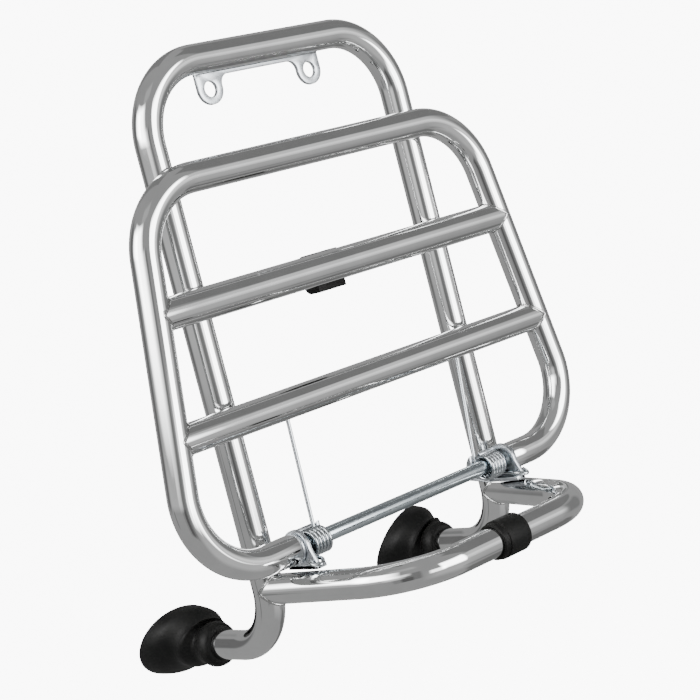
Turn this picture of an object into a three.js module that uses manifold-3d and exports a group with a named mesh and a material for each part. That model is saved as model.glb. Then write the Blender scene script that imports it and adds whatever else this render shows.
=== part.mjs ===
// Folding luggage rack: a chromed tube carrier that bolts to an upright panel at its top bracket and
// leans on it through two rubber feet. A tray of three bars folds down on a hinge rod and is pulled back
// up by two torsion springs.
//
// Millimetres. X runs across the carrier, Y back towards the panel, Z up along the legs of the frame.
// The shapes are drawn from the hinge line (z = 0) and the plane of the frame's legs (y = 0), and the
// finished group is moved so that its origin is on the back face of the top bracket.
import * as THREE from "three";
import { mergeVertices } from "three/addons/utils/BufferGeometryUtils.js";
import Module from "manifold-3d";

const wasm = await Module();
wasm.setup();

// ---------- driving dimensions ----------
const GAP = 0.3; // clearance between pieces that touch

const TUBE_D = 16; // frame, hoop and tray tubes
const TUBE_WALL = 1.5;

const FRAME_WIDTH = 178; // between the centrelines of the legs
const FRAME_HEIGHT = 255; // hinge line to the centreline of the top bar
const FRAME_CORNER_R = 40; // centreline radius of the two top corners
const FOOT_BEND_R = 32; // centreline radius where each leg turns back to its foot
const FOOT_BEND_TOP = -18; // height at which that bend starts
const STUB_END = 59; // how far behind the legs each tube ends, inside its foot

const HOOP_REACH = 89.7; // from the legs forward to the hoop's front run
const HOOP_TAPER = 20; // by which each branch comes in on its way to the front run
const HOOP_CORNER_R = 42;
const HOOP_DROP = 2.5; // how much lower its front run lies than its ends

const ROD_D = 8;
const TRAY_LEAN = 1.37; // degrees by which the tray leans back on the frame
const TRAY_STANDOFF = 0.7; // gap left between the tray's top bar and the legs it leans towards

const TRAY_FOOT_OVERHANG = 58.5; // side centrelines outside the legs, at the hinge line
const TRAY_TOP_OVERHANG = 28.7; // the same at the top bar
const TRAY_HEIGHT = 195.7; // hinge line to the top bar
const TRAY_TOP_CORNER_R = 41;
const TRAY_FOOT_CORNER_R = 39.5;
const LOWER_BAR_HEIGHT = 71.2;
const LOWER_BAR_D = TUBE_D;
const UPPER_BAR_HEIGHT = 132.9;
const UPPER_BAR_D = 16.8; // slightly stouter than the rest

const EAR_INSET = 3.2; // outer face of each bracket ear, inside the hoop branch's centreline
const SHEET = 2.2; // hinge bracket sheet
const BASE_REACH = 13; // base plate in front of the hinge line
const BASE_WIDTH = 6.5; // base plate inwards from the ear
const SHROUD_WRAP = 62; // degrees the shroud curls up behind the coil
const TAB_DEPTH = 5; // the tab at the web's far end, from its back face forwards
const TAB_HOLE_R = 1.2;
const WEB_TIP = 4.5; // height of the tapered web at that end
const BUSH_LENGTH = 9;
const ROD_BEYOND_BUSH = 4;
const BUSH_FLANGE = 1.5;
const CLIP_THICKNESS = 1.2;
const CLIP_D = ROD_D + 2.5;

const SPRING_WIRE = 2.2;
const SPRING_SLACK = 1.2; // radial room between the rod and the coil
const SPRING_TURNS = 5.25; // from the lowest point of the first turn to the back of the last
const SPRING_PITCH = 2.35;
const SPRING_DROP = SPRING_SLACK - 0.4; // the coil hangs low on the rod, by nearly all that room
const SPRING_EAR_GAP = { left: 4, right: 1.8 }; // from the ear to the first turn's wire
const SPRING_BASE_GAP = 1.3; // from the coil down to the bracket's base plate
const SPRING_LEG_LEAN = { left: -5, right: 11.6 }; // how far outwards each long leg travels

const BRACKET_SHEET = 2.5;
const BRACKET_STANDOFF = 0.5; // its back face, behind the back of the tube
const BRACKET_HOLE_SPACING = 71.5;
const BRACKET_HOLE_D = 8.5;
const BRACKET_EAR_R = 8.3;
const BRACKET_HOLE_HEIGHT = FRAME_HEIGHT - 16.3;
const BRACKET_STRIP_BOTTOM = FRAME_HEIGHT - 9.8;
const BRACKET_STRIP_TOP = FRAME_HEIGHT - 4;
const BRACKET_FILLET = 5.5;

const SLEEVE_D = TUBE_D + 4.6;
const SLEEVE_LENGTH = 19;
const SLEEVE_OFFSET = -1.5; // along the front run, from its middle
const SLEEVE_LIP_D = TUBE_D + 3.2;
const SLEEVE_LIP_LENGTH = 3.5;

const BUFFER_WIDTH = 20;
const BUFFER_X = -5; // it sits a little to the left of the middle
const BUFFER_HEIGHT = 21;
const BUFFER_REACH = UPPER_BAR_D / 2 + 8; // from the upper bar's centreline to the buffer's back face
const BUFFER_DROP = 1.8; // how far its centre lies below the bar's
const SCREW_D = 3.6;
const SCREW_HEAD_D = 8;
const SCREW_HEAD_HEIGHT = 2.4;

const FOOT_OPENING = 51.1; // from the legs' plane to the mouth of each foot's collar
const FOOT_COLLAR_R = TUBE_D / 2 + 4.3;
const FOOT_NECK_R = TUBE_D / 2 + 2.8;
const FOOT_RIM_R = 23.8;
const FOOT_DEPTH = 40.8; // along its centreline, mouth to rim
const FOOT_RISE = 3.3; // degrees by which that centreline climbs
const FOOT_RIM_TILT = 33.2; // degrees by which the rim faces upwards
const FOOT_TOE_IN = 13; // degrees by which the two rims face each other
const FOOT_LIP = 3.2; // width of the flat ring that meets the panel

// ---------- finishes ----------
const finish = (color, roughness, metalness) => () =>
  new THREE.MeshStandardMaterial({ color, roughness, metalness });
const chrome = finish(0xc9cacc, 0.08, 1);
const zinc = finish(0xaab4bb, 0.32, 1);
const springSteel = finish(0x8f979c, 0.3, 1);
const rubber = finish(0x141414, 0.6, 0);
const nylon = finish(0x1d1d1e, 0.5, 0);

// ---------- solids ----------
// A closed three.js geometry as a solid that can be cut and joined.
function solid(geometry) {
  const plain = geometry.clone();
  for (const name of Object.keys(plain.attributes)) {
    if (name !== "position") plain.deleteAttribute(name);
  }
  const merged = mergeVertices(plain, 1e-4);
  const mesh = new wasm.Mesh({
    numProp: 3,
    vertProperties: merged.attributes.position.array,
    triVerts: new Uint32Array(merged.index.array),
  });
  return new wasm.Manifold(mesh);
}

// The solid's faces as a three.js geometry again.
function surface(body) {
  const mesh = body.getMesh();
  const geometry = new THREE.BufferGeometry();
  geometry.setAttribute("position", new THREE.BufferAttribute(mesh.vertProperties, 3));
  geometry.setIndex(new THREE.BufferAttribute(mesh.triVerts, 1));
  geometry.computeVertexNormals();
  return geometry;
}

const rack = new THREE.Group();

function piece(name, body, material) {
  const mesh = new THREE.Mesh(surface(body), material());
  mesh.name = name;
  rack.add(mesh);
}

const radians = THREE.MathUtils.degToRad;
const vec = (x, y, z) => new THREE.Vector3(x, y, z);

// ---------- tubes ----------
const TUBE_SIDES = 18;
const WIRE_SIDES = 6;
const COIL_STEPS = 14; // stations in each turn of a coil
const tubeR = TUBE_D / 2;
const boreR = tubeR - TUBE_WALL;

function circle(radius, sides, Kind = THREE.Path) {
  const outline = new Kind();
  for (let i = 0; i < sides; i += 1) {
    const angle = (2 * Math.PI * i) / sides;
    const x = radius * Math.cos(angle);
    const y = radius * Math.sin(angle);
    if (i === 0) outline.moveTo(x, y);
    else outline.lineTo(x, y);
  }
  outline.closePath();
  return outline;
}

// A curve known at a row of stations, each a place and the direction of travel there.
class StationCurve extends THREE.Curve {
  constructor(stations) {
    super();
    this.stations = stations;
  }
  at(u) {
    return this.stations[Math.round(u * (this.stations.length - 1))];
  }
  getPoint(u) {
    return this.at(u).place.clone();
  }
  getPointAt(u) {
    return this.at(u).place.clone();
  }
  getTangentAt(u) {
    return this.at(u).heading.clone();
  }
}

// Stations of a route that runs straight between its corners and turns each one on a round bend.
// corners: [{ at: Vector3, r: bend radius }], the first and last being the route's ends.
function bentRoute(corners, degreesPerStep = 13) {
  const stations = [];
  const last = corners.length - 1;
  const way = (i) => corners[i + 1].at.clone().sub(corners[i].at).normalize();
  stations.push({ place: corners[0].at, heading: way(0) });
  for (let i = 1; i < last; i += 1) {
    const before = way(i - 1);
    const after = way(i);
    const turn = before.angleTo(after);
    const back = corners[i].r * Math.tan(turn / 2);
    const start = corners[i].at.clone().addScaledVector(before, -back);
    const axis = before.clone().cross(after).normalize();
    const inward = axis.clone().cross(before);
    const centre = start.clone().addScaledVector(inward, corners[i].r);
    const steps = Math.max(2, Math.round(THREE.MathUtils.radToDeg(turn) / degreesPerStep));
    for (let k = 0; k <= steps; k += 1) {
      const angle = (turn * k) / steps;
      const arm = start.clone().sub(centre).applyAxisAngle(axis, angle);
      stations.push({
        place: centre.clone().add(arm),
        heading: before.clone().applyAxisAngle(axis, angle),
      });
    }
  }
  stations.push({ place: corners[last].at, heading: way(last - 1) });
  return stations;
}

// Stations along a smooth curve through the given places.
function smoothRoute(places, steps) {
  const curve = new THREE.CatmullRomCurve3(places, false, "centripetal");
  return Array.from({ length: steps + 1 }, (_, i) => ({
    place: curve.getPointAt(i / steps),
    heading: curve.getTangentAt(i / steps),
  }));
}

function sweep(stations, radius, bore = 0, sides = TUBE_SIDES) {
  const section = circle(radius, sides, THREE.Shape);
  if (bore > 0) section.holes.push(circle(bore, sides));
  const geometry = new THREE.ExtrudeGeometry(section, {
    steps: stations.length - 1,
    extrudePath: new StationCurve(stations),
  });
  return solid(geometry);
}

const bar = (from, to, radius, bore = 0, sides = TUBE_SIDES) =>
  sweep(bentRoute([{ at: from }, { at: to }]), radius, bore, sides);

// A turned piece about the Y axis: profile of [along, radius] pairs, closed on itself or on the axis.
function turned(profile, sides = 24) {
  const points = profile.map(([along, r]) => new THREE.Vector2(r, along));
  return new THREE.LatheGeometry(points, sides);
}

const turnedAlongX = (profile, sides) => turned(profile, sides).rotateZ(-Math.PI / 2);

// A closed ring profile from one end to the other, between two radii.
const ring = (from, to, inner, outer) => [
  [from, inner],
  [from, outer],
  [to, outer],
  [to, inner],
  [from, inner],
];

// A flat shape drawn in (Y, Z) and given a thickness along X.
const acrossX = new THREE.Matrix4().makeBasis(vec(0, 1, 0), vec(0, 0, 1), vec(1, 0, 0));
function slab(shape, xFrom, xTo) {
  const low = Math.min(xFrom, xTo);
  const depth = Math.abs(xTo - xFrom);
  const options = { depth, bevelEnabled: false, curveSegments: 10 };
  const geometry = new THREE.ExtrudeGeometry(shape, options);
  return solid(geometry.applyMatrix4(acrossX).translate(low, -hingeSetback, 0));
}

// ---------- the tray's own plane ----------
// x across, v up from the hinge line, w back from the plane.
const lean = radians(TRAY_LEAN);
const hingeSetback = TUBE_D + TRAY_STANDOFF + TRAY_HEIGHT * Math.sin(lean);
const onHinge = (x) => vec(x, -hingeSetback, 0);
const trayUp = vec(0, Math.sin(lean), Math.cos(lean));
const trayBack = vec(0, Math.cos(lean), -Math.sin(lean));
const inTray = (x, v, w = 0) =>
  onHinge(x).addScaledVector(trayUp, v).addScaledVector(trayBack, w);

// ---------- main frame ----------
const legX = FRAME_WIDTH / 2;
const stubZ = FOOT_BEND_TOP - FOOT_BEND_R;
const frameRoute = bentRoute([
  { at: vec(-legX, STUB_END, stubZ) },
  { at: vec(-legX, 0, stubZ), r: FOOT_BEND_R },
  { at: vec(-legX, 0, FRAME_HEIGHT), r: FRAME_CORNER_R },
  { at: vec(legX, 0, FRAME_HEIGHT), r: FRAME_CORNER_R },
  { at: vec(legX, 0, stubZ), r: FOOT_BEND_R },
  { at: vec(legX, STUB_END, stubZ) },
]);
const frameKeepOut = sweep(frameRoute, tubeR + GAP);
piece("main_frame_tube", sweep(frameRoute, tubeR, boreR), chrome);

// ---------- heights that the hinge stack sets ----------
const rodR = ROD_D / 2;
const wireR = SPRING_WIRE / 2;
const springR = rodR + SPRING_SLACK + wireR;
const coilR = springR + wireR;
const shroudBoreR = coilR + GAP;
const shroudR = shroudBoreR + SHEET;
const coilBottom = -SPRING_DROP - coilR;
const baseBottom = coilBottom - SPRING_BASE_GAP - SHEET;
const hoopAtHinge = baseBottom - GAP - tubeR;
const hoopLegZ = hoopAtHinge + (HOOP_DROP * hingeSetback) / HOOP_REACH;
const hoopFrontZ = hoopLegZ - HOOP_DROP;

// ---------- support hoop and its sleeve ----------
const hoopFrontX = legX - HOOP_TAPER;
const hoopRoute = bentRoute([
  { at: vec(-legX, 0, hoopLegZ) },
  { at: vec(-hoopFrontX, -HOOP_REACH, hoopFrontZ), r: HOOP_CORNER_R },
  { at: vec(hoopFrontX, -HOOP_REACH, hoopFrontZ), r: HOOP_CORNER_R },
  { at: vec(legX, 0, hoopLegZ) },
]);
const hoopKeepOut = sweep(hoopRoute, tubeR + GAP);
piece("support_hoop", sweep(hoopRoute, tubeR, boreR).subtract(frameKeepOut), chrome);

const sleeveEnd = SLEEVE_LENGTH / 2;
const sleeveBoreR = tubeR + GAP;
const sleeveProfile = [
  [-sleeveEnd, sleeveBoreR],
  [-sleeveEnd, SLEEVE_LIP_D / 2],
  [SLEEVE_LIP_LENGTH - sleeveEnd, SLEEVE_LIP_D / 2],
  [SLEEVE_LIP_LENGTH - sleeveEnd, SLEEVE_D / 2],
  [sleeveEnd, SLEEVE_D / 2],
  [sleeveEnd, sleeveBoreR],
  [-sleeveEnd, sleeveBoreR],
];
const sleeve = turnedAlongX(sleeveProfile).translate(SLEEVE_OFFSET, -HOOP_REACH, hoopFrontZ);
piece("hoop_sleeve", solid(sleeve), rubber);

// ---------- top bracket ----------
function bracketShape() {
  const holeX = BRACKET_HOLE_SPACING / 2;
  const outer = holeX + BRACKET_EAR_R;
  const inner = holeX - BRACKET_EAR_R;
  const fillet = BRACKET_FILLET;
  const filletZ = BRACKET_STRIP_BOTTOM - fillet;
  const shape = new THREE.Shape();
  shape.moveTo(-outer, BRACKET_STRIP_TOP);
  shape.lineTo(-outer, BRACKET_HOLE_HEIGHT);
  shape.absarc(-holeX, BRACKET_HOLE_HEIGHT, BRACKET_EAR_R, Math.PI, 2 * Math.PI, false);
  shape.lineTo(-inner, filletZ);
  shape.absarc(fillet - inner, filletZ, fillet, Math.PI, Math.PI / 2, true);
  shape.lineTo(inner - fillet, BRACKET_STRIP_BOTTOM);
  shape.absarc(inner - fillet, filletZ, fillet, Math.PI / 2, 0, true);
  shape.lineTo(inner, BRACKET_HOLE_HEIGHT);
  shape.absarc(holeX, BRACKET_HOLE_HEIGHT, BRACKET_EAR_R, Math.PI, 2 * Math.PI, false);
  shape.lineTo(outer, BRACKET_STRIP_TOP);
  shape.closePath();
  for (const x of [-holeX, holeX]) {
    const hole = new THREE.Path();
    hole.absarc(x, BRACKET_HOLE_HEIGHT, BRACKET_HOLE_D / 2, 0, 2 * Math.PI, true);
    shape.holes.push(hole);
  }
  return shape;
}
const bracketBack = tubeR + BRACKET_STANDOFF;
const bracketPlate = new THREE.ExtrudeGeometry(bracketShape(), {
  depth: BRACKET_SHEET,
  bevelEnabled: false,
  curveSegments: 12,
});
bracketPlate.rotateX(Math.PI / 2).translate(0, bracketBack, 0);
piece("top_bracket", solid(bracketPlate).subtract(frameKeepOut), zinc);

// ---------- hinge rod and its clips ----------
const branchX = legX - (HOOP_TAPER * hingeSetback) / HOOP_REACH;
const earOuter = branchX - EAR_INSET;
const earInner = earOuter - SHEET;
const trayEndX = earOuter + GAP + BUSH_FLANGE + GAP;
const bushEndX = trayEndX + BUSH_LENGTH;
const rodEndX = bushEndX + ROD_BEYOND_BUSH;
piece("hinge_rod", bar(onHinge(-rodEndX), onHinge(rodEndX), rodR), zinc);

const ofSide = (pair, side) => (side < 0 ? pair.left : pair.right);
const coilOuter = (side) => earInner - ofSide(SPRING_EAR_GAP, side) - wireR;
const coilInner = (side) => coilOuter(side) - SPRING_PITCH * SPRING_TURNS;
const tabOuter = (side) => coilInner(side) - wireR - GAP * 2;
const tabInner = (side) => tabOuter(side) - SHEET;
const webTop = -SPRING_DROP - 1; // the web behind the coil stays below the spring's long leg
const lowerBarR = LOWER_BAR_D / 2;
const legTop = (side) =>
  inTray(side * (coilInner(side) + ofSide(SPRING_LEG_LEAN, side)), LOWER_BAR_HEIGHT - lowerBarR * 0.4)
    .addScaledVector(trayBack, lowerBarR * 0.92 + wireR + GAP);

// ---------- hinge brackets ----------
// Drawn in (Y, Z) about the hinge line: back is +Y.
function shroudShape() {
  const top = radians(SHROUD_WRAP);
  const shape = new THREE.Shape();
  shape.moveTo(shroudR, webTop - 1);
  shape.absarc(0, -SPRING_DROP, shroudR, 0, top, false);
  shape.absarc(0, -SPRING_DROP, shroudBoreR, top, 0, true);
  shape.lineTo(shroudBoreR, webTop - 1);
  shape.closePath();
  return shape;
}

// The web behind the coil, drawn in (X, Z): full height at the ear, tapering towards the tab.
function web(side) {
  const shape = new THREE.Shape();
  shape.moveTo(side * tabInner(side), webTop);
  shape.lineTo(side * tabInner(side), webTop - WEB_TIP);
  shape.lineTo(side * (earOuter - BASE_WIDTH), baseBottom);
  shape.lineTo(side * earOuter, baseBottom);
  shape.lineTo(side * earOuter, webTop);
  shape.closePath();
  const geometry = new THREE.ExtrudeGeometry(shape, { depth: SHEET, bevelEnabled: false });
  return solid(geometry.rotateX(Math.PI / 2).translate(0, shroudR - hingeSetback, 0));
}

function baseShape() {
  const shape = new THREE.Shape();
  shape.moveTo(shroudR, webTop);
  shape.lineTo(shroudBoreR, webTop);
  shape.lineTo(shroudBoreR, coilBottom - SPRING_BASE_GAP);
  shape.lineTo(-BASE_REACH, coilBottom - SPRING_BASE_GAP);
  shape.lineTo(-BASE_REACH, baseBottom);
  shape.lineTo(shroudR, baseBottom);
  shape.closePath();
  return shape;
}

function earShape() {
  const shape = new THREE.Shape();
  shape.moveTo(shroudR, baseBottom);
  shape.absarc(0, -SPRING_DROP, shroudR, 0, Math.PI, false);
  shape.lineTo(-BASE_REACH, coilBottom);
  shape.lineTo(-BASE_REACH, baseBottom);
  shape.closePath();
  return shape;
}

// The folded-in tab at the bracket's inner end, behind the rod.
function tabShape() {
  const shape = new THREE.Shape();
  const front = shroudR - TAB_DEPTH;
  const reach = Math.acos(front / shroudR);
  shape.moveTo(front, webTop - WEB_TIP / 2);
  shape.lineTo(shroudR, webTop - WEB_TIP / 2);
  shape.absarc(0, -SPRING_DROP, shroudR, 0, reach, false);
  shape.closePath();
  const hole = new THREE.Path();
  hole.absarc(shroudR - TAB_DEPTH / 2, 0, TAB_HOLE_R, 0, 2 * Math.PI, true);
  shape.holes.push(hole);
  return shape;
}

// The shroud stops short of the spring's long leg, which swings over the rod with the tray.
function hingeBracket(side) {
  const rodHole = bar(onHinge(-rodEndX), onHinge(rodEndX), rodR + GAP);
  const legLean = ofSide(SPRING_LEG_LEAN, side) / LOWER_BAR_HEIGHT;
  const shroudInner = coilInner(side) + wireR + GAP * 3 + Math.max(0, legLean) * shroudR;
  return slab(shroudShape(), side * shroudInner, side * earOuter)
    .add(web(side))
    .add(slab(baseShape(), side * (earOuter - BASE_WIDTH), side * earOuter))
    .add(slab(earShape(), side * earInner, side * earOuter))
    .add(slab(tabShape(), side * tabInner(side), side * tabOuter(side)))
    .subtract(rodHole)
    .subtract(hoopKeepOut)
    .subtract(frameKeepOut);
}

// ---------- torsion springs ----------
// Each coil starts in a short tail that hooks round the bracket ear and ends in a long straight leg
// that runs up into the back of the lower bar.
function springRoute(side) {
  const stations = [];
  const clear = wireR + GAP * 2;
  const tailPoint = (x, y, z) => vec(side * x, -hingeSetback + y, coilBottom + z);
  const outside = earOuter + clear + 0.3;
  const tail = [
    tailPoint(outside, -shroudR - 0.6, 1.2),
    tailPoint(outside, -BASE_REACH - 0.2, -0.6),
    tailPoint(earInner + SHEET / 2, -BASE_REACH - clear - 0.8, -0.9),
    tailPoint(earInner - 3, -BASE_REACH + 1, 0.5),
    tailPoint(coilOuter(side) + 0.6, -4, wireR),
  ];
  const coilStart = vec(side * coilOuter(side), -hingeSetback, -SPRING_DROP - springR);
  stations.push(...smoothRoute([...tail, coilStart], 14).slice(0, -1));
  const sweepAngle = 2 * Math.PI * SPRING_TURNS;
  const steps = Math.round(SPRING_TURNS * COIL_STEPS);
  for (let i = 0; i <= steps; i += 1) {
    const turn = (sweepAngle * i) / steps;
    const angle = turn - Math.PI / 2;
    const x = side * (coilOuter(side) - (SPRING_PITCH * turn) / (2 * Math.PI));
    const y = -hingeSetback + springR * Math.cos(angle);
    const z = -SPRING_DROP + springR * Math.sin(angle);
    const climb = (-side * SPRING_PITCH) / (2 * Math.PI);
    const heading = vec(climb, -springR * Math.sin(angle), springR * Math.cos(angle));
    stations.push({ place: vec(x, y, z), heading: heading.normalize() });
  }
  const top = legTop(side);
  const last = stations[stations.length - 1];
  const heading = top.clone().sub(last.place).normalize();
  const elbow = last.place.clone().addScaledVector(heading, 3);
  stations.push({ place: elbow, heading }, { place: top, heading });
  return stations;
}

// ---------- tray ----------
const bottomX = legX + TRAY_FOOT_OVERHANG;
const topX = legX + TRAY_TOP_OVERHANG;
const trayRoute = bentRoute([
  { at: inTray(-trayEndX, 0) },
  { at: inTray(-bottomX, 0), r: TRAY_FOOT_CORNER_R },
  { at: inTray(-topX, TRAY_HEIGHT), r: TRAY_TOP_CORNER_R },
  { at: inTray(topX, TRAY_HEIGHT), r: TRAY_TOP_CORNER_R },
  { at: inTray(bottomX, 0), r: TRAY_FOOT_CORNER_R },
  { at: inTray(trayEndX, 0) },
]);
const trayKeepOut = sweep(trayRoute, tubeR + GAP);
piece("tray_tube", sweep(trayRoute, tubeR, boreR), chrome);

function crossbar(v, radius) {
  const reach = bottomX + ((topX - bottomX) * v) / TRAY_HEIGHT;
  const tube = bar(inTray(-reach, v), inTray(reach, v), radius, radius - TUBE_WALL);
  return tube.subtract(trayKeepOut);
}

// The buffer saddles the back of the upper bar, and one screw holds it there.
const barR = UPPER_BAR_D / 2;
const bufferFront = barR * 0.6;
const screwSeat = BUFFER_REACH - SCREW_HEAD_HEIGHT - 1;
const screwProfile = [
  [barR - TUBE_WALL - 3, 0],
  [barR - TUBE_WALL - 3, SCREW_D / 2],
  [screwSeat, SCREW_D / 2],
  [screwSeat, SCREW_HEAD_D / 2],
  [screwSeat + SCREW_HEAD_HEIGHT, SCREW_HEAD_D / 2 - 0.8],
  [screwSeat + SCREW_HEAD_HEIGHT, 0],
];
const screwKeepOutProfile = [
  [0, 0],
  [0, SCREW_D / 2 + GAP],
  [screwSeat - GAP, SCREW_D / 2 + GAP],
  [screwSeat - GAP, SCREW_HEAD_D / 2 + GAP],
  [BUFFER_REACH + 1, SCREW_HEAD_D / 2 + GAP],
  [BUFFER_REACH + 1, 0],
];
const onUpperBar = (profile) => {
  const place = inTray(BUFFER_X, UPPER_BAR_HEIGHT);
  return solid(turned(profile, 16).rotateX(-lean).translate(place.x, place.y, place.z));
};
const screwKeepOut = onUpperBar(screwKeepOutProfile);

function roundedRectangle(width, height, r) {
  const x = width / 2 - r;
  const y = height / 2 - r;
  const shape = new THREE.Shape();
  shape.absarc(x, y, r, 0, Math.PI / 2, false);
  shape.absarc(-x, y, r, Math.PI / 2, Math.PI, false);
  shape.absarc(-x, -y, r, Math.PI, 1.5 * Math.PI, false);
  shape.absarc(x, -y, r, 1.5 * Math.PI, 2 * Math.PI, false);
  shape.closePath();
  return shape;
}

function buffer() {
  const block = new THREE.ExtrudeGeometry(roundedRectangle(BUFFER_WIDTH, BUFFER_HEIGHT, 5), {
    depth: BUFFER_REACH - bufferFront,
    bevelEnabled: false,
    curveSegments: 6,
  });
  const front = trayBack.clone().negate();
  const placed = new THREE.Matrix4().makeBasis(vec(1, 0, 0), trayUp, front);
  placed.setPosition(inTray(BUFFER_X, UPPER_BAR_HEIGHT - BUFFER_DROP, BUFFER_REACH));
  const barEnd = BUFFER_WIDTH;
  const from = inTray(BUFFER_X - barEnd, UPPER_BAR_HEIGHT);
  const to = inTray(BUFFER_X + barEnd, UPPER_BAR_HEIGHT);
  return solid(block.applyMatrix4(placed))
    .subtract(bar(from, to, barR + GAP))
    .subtract(screwKeepOut);
}

piece("lower_crossbar", crossbar(LOWER_BAR_HEIGHT, lowerBarR), chrome);
const upperBar = crossbar(UPPER_BAR_HEIGHT, barR).subtract(screwKeepOut);
piece("upper_crossbar", upperBar, chrome);
piece("tray_buffer", buffer(), rubber);
piece("buffer_screw", onUpperBar(screwProfile), zinc);

// ---------- rubber feet ----------
const footProfile = [
  [0, 0],
  [0, FOOT_COLLAR_R - 2.6],
  [1.2, FOOT_COLLAR_R - 1],
  [4.5, FOOT_COLLAR_R],
  [8, FOOT_COLLAR_R - 0.6],
  [11.5, FOOT_NECK_R],
  [13.5, FOOT_NECK_R + 2.2],
  [16, FOOT_NECK_R + 4.8],
  [21, FOOT_RIM_R - 7.4],
  [30, FOOT_RIM_R - 1.9],
  [FOOT_DEPTH, FOOT_RIM_R],
  [FOOT_DEPTH, FOOT_RIM_R - FOOT_LIP],
  [30, FOOT_RIM_R - 6],
  [22, FOOT_RIM_R - 10.6],
  [18.5, FOOT_NECK_R - 3.4],
  [17.5, 0],
];

// Moves each ring of the turned foot onto its climbing centreline and tips it up towards the panel.
function bendFoot(geometry, legSide) {
  const rise = radians(FOOT_RISE);
  const rimTilt = radians(FOOT_RIM_TILT);
  const toeIn = radians(FOOT_TOE_IN);
  const position = geometry.attributes.position;
  for (let i = 0; i < position.count; i += 1) {
    const along = position.getY(i);
    const share = THREE.MathUtils.smoothstep(along, 8, 18);
    const arm = vec(position.getX(i), 0, position.getZ(i))
      .applyAxisAngle(vec(1, 0, 0), rimTilt * share)
      .applyAxisAngle(vec(0, 0, 1), toeIn * share * legSide);
    const x = legSide * legX + arm.x;
    const y = FOOT_OPENING + along * Math.cos(rise) + arm.y;
    const z = stubZ + along * Math.sin(rise) + arm.z;
    position.setXYZ(i, x, y, z);
  }
  return geometry;
}

const capSeat = STUB_END + GAP;
const capEnd = capSeat + 1.5;
const capProfile = [
  [STUB_END - 9, 0],
  [STUB_END - 9, boreR - GAP],
  [capSeat, boreR - GAP],
  [capSeat, tubeR],
  [capEnd, tubeR],
  [capEnd, 0],
];

const SIDES = [
  ["left", -1],
  ["right", 1],
];
for (const [name, side] of SIDES) {
  const ends = (from, to) => (side < 0 ? [-to, -from] : [from, to]);
  piece("hinge_bracket_" + name, hingeBracket(side), zinc);
  piece("spring_" + name, sweep(springRoute(side), wireR, 0, WIRE_SIDES), springSteel);

  const clipX = bushEndX + GAP;
  const clip = ring(...ends(clipX, clipX + CLIP_THICKNESS), rodR + GAP, CLIP_D / 2);
  piece("rod_clip_" + name, solid(turnedAlongX(clip).translate(0, -hingeSetback, 0)), zinc);

  const bushBore = rodR + GAP;
  const barrel = ring(...ends(trayEndX - GAP, bushEndX), bushBore, boreR - GAP);
  const flange = ring(...ends(earOuter + GAP, trayEndX - GAP), bushBore, tubeR);
  const bush = solid(turnedAlongX(barrel)).add(solid(turnedAlongX(flange)));
  piece("pivot_bush_" + name, bush.translate([0, -hingeSetback, 0]), zinc);

  const stubX = side * legX;
  const stubHole = bar(vec(stubX, FOOT_OPENING - 6, stubZ), vec(stubX, capEnd + GAP, stubZ), tubeR + GAP);
  const foot = solid(bendFoot(turned(footProfile, 28), side)).subtract(stubHole);
  piece("rubber_foot_" + name, foot, rubber);
  piece("stub_cap_" + name, solid(turned(capProfile).translate(stubX, 0, stubZ)), nylon);
}

rack.position.set(0, -bracketBack, -(BRACKET_STRIP_BOTTOM + BRACKET_STRIP_TOP) / 2);
export default rack;
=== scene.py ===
# %% [markdown]
# # A folding luggage rack
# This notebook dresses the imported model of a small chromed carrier: bent tubes, a sprung tray, a drilled
# bracket and two rubber feet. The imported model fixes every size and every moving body. Each cell below
# makes one kind of piece around it, with rounder tubes, rolled edges, weld beads and real finishes.

import math

import bmesh
import bpy
from mathutils import Matrix, Vector


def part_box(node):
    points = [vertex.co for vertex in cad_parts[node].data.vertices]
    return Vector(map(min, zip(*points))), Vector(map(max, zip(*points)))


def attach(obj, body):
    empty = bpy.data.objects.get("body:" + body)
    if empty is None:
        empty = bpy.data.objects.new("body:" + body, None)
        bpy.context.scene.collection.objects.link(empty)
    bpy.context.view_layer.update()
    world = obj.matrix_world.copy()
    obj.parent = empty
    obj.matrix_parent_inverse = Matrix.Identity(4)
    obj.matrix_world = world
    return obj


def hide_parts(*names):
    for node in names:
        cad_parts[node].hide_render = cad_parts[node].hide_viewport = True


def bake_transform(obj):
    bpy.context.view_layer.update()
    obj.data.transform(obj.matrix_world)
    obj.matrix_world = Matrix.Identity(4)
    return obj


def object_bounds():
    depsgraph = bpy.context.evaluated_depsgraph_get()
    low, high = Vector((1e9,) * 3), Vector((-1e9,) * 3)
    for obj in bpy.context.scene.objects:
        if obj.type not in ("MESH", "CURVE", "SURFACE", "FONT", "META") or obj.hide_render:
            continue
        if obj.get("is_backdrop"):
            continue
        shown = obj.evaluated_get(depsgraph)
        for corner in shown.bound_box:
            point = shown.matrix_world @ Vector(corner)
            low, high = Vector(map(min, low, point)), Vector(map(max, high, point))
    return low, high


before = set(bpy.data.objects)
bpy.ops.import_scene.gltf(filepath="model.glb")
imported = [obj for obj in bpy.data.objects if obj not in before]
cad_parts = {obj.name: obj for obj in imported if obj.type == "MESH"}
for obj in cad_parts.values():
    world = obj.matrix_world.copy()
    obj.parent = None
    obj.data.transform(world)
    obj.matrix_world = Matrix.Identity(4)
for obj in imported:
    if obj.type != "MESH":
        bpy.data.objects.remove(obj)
cad_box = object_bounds()
print("packed box:", [[round(c, 4) for c in corner] for corner in cad_box])

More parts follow.
